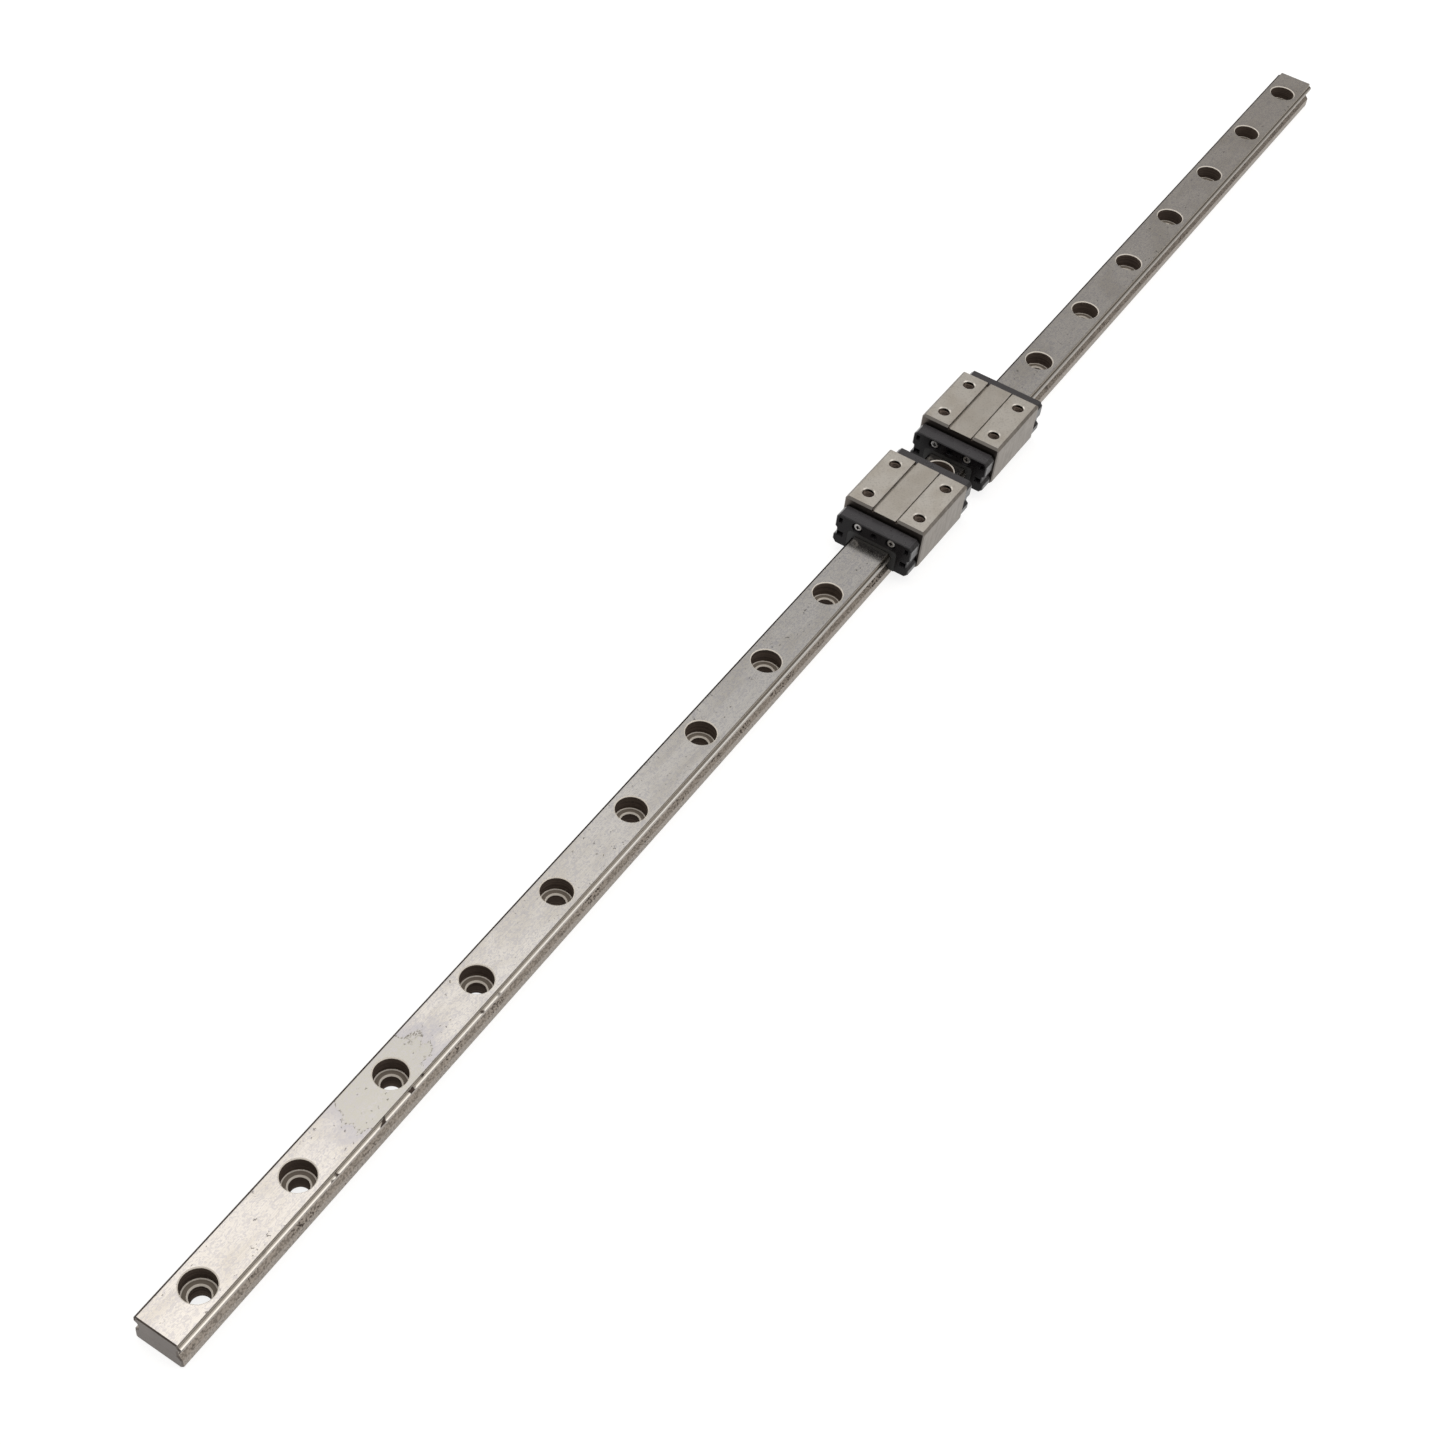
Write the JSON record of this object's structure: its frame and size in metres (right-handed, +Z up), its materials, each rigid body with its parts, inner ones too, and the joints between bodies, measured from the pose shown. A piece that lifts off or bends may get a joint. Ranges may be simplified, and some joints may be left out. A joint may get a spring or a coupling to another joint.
{
  "type": "linear guide carriage",
  "caption": "Slim ground rail with counterbored fixing holes and ball carriages that slide along it, each with a tapped top and black end caps.",
  "frame": {"origin": "centre of the rail's underside", "axes": "+X along the rail, towards the end that is nearer the far carriage; +Y to the left of that; +Z up, out of the rail's underside through the carriages' tops"},
  "size_m": [0.47, 0.02, 0.013],
  "materials": {
    "rail_steel": "ground and lightly stained",
    "block_steel": "ground",
    "black_resin": "moulded, slightly grained",
    "seal_rubber": "smooth",
    "screw_steel": "bright",
    "retainer_resin": "moulded",
    "guide_resin": "moulded",
    "ball_steel": "polished"
  },
  "bodies": {
    "rail": {"rail": "rail_steel"},
    "near_carriage": {"near_block": "block_steel", "near_front_end_cap": "black_resin", "near_front_end_seal": "seal_rubber", "near_front_screws": "screw_steel", "near_rear_end_cap": "black_resin", "near_rear_end_seal": "seal_rubber", "near_rear_screws": "screw_steel", "near_left_ball_retainer": "retainer_resin", "near_upper_left_balls": "ball_steel", "near_front_upper_left_guide": "guide_resin", "near_rear_upper_left_guide": "guide_resin", "near_lower_left_balls": "ball_steel", "near_front_lower_left_guide": "guide_resin", "near_rear_lower_left_guide": "guide_resin", "near_right_ball_retainer": "retainer_resin", "near_upper_right_balls": "ball_steel", "near_front_upper_right_guide": "guide_resin", "near_rear_upper_right_guide": "guide_resin", "near_lower_right_balls": "ball_steel", "near_front_lower_right_guide": "guide_resin", "near_rear_lower_right_guide": "guide_resin"},
    "far_carriage": {"far_block": "block_steel", "far_front_end_cap": "black_resin", "far_front_end_seal": "seal_rubber", "far_front_screws": "screw_steel", "far_rear_end_cap": "black_resin", "far_rear_end_seal": "seal_rubber", "far_rear_screws": "screw_steel", "far_left_ball_retainer": "retainer_resin", "far_upper_left_balls": "ball_steel", "far_front_upper_left_guide": "guide_resin", "far_rear_upper_left_guide": "guide_resin", "far_lower_left_balls": "ball_steel", "far_front_lower_left_guide": "guide_resin", "far_rear_lower_left_guide": "guide_resin", "far_right_ball_retainer": "retainer_resin", "far_upper_right_balls": "ball_steel", "far_front_upper_right_guide": "guide_resin", "far_rear_upper_right_guide": "guide_resin", "far_lower_right_balls": "ball_steel", "far_front_lower_right_guide": "guide_resin", "far_rear_lower_right_guide": "guide_resin"}
  },
  "joints": [
    {"name": "near_carriage_slide", "type": "slide", "parent": "rail", "child": "near_carriage", "axis": [1, 0, 0], "range_m": [-0.229, 0.0033]},
    {"name": "far_carriage_slide", "type": "slide", "parent": "rail", "child": "far_carriage", "axis": [1, 0, 0], "range_m": [-0.0033, 0.1781]}
  ]
}
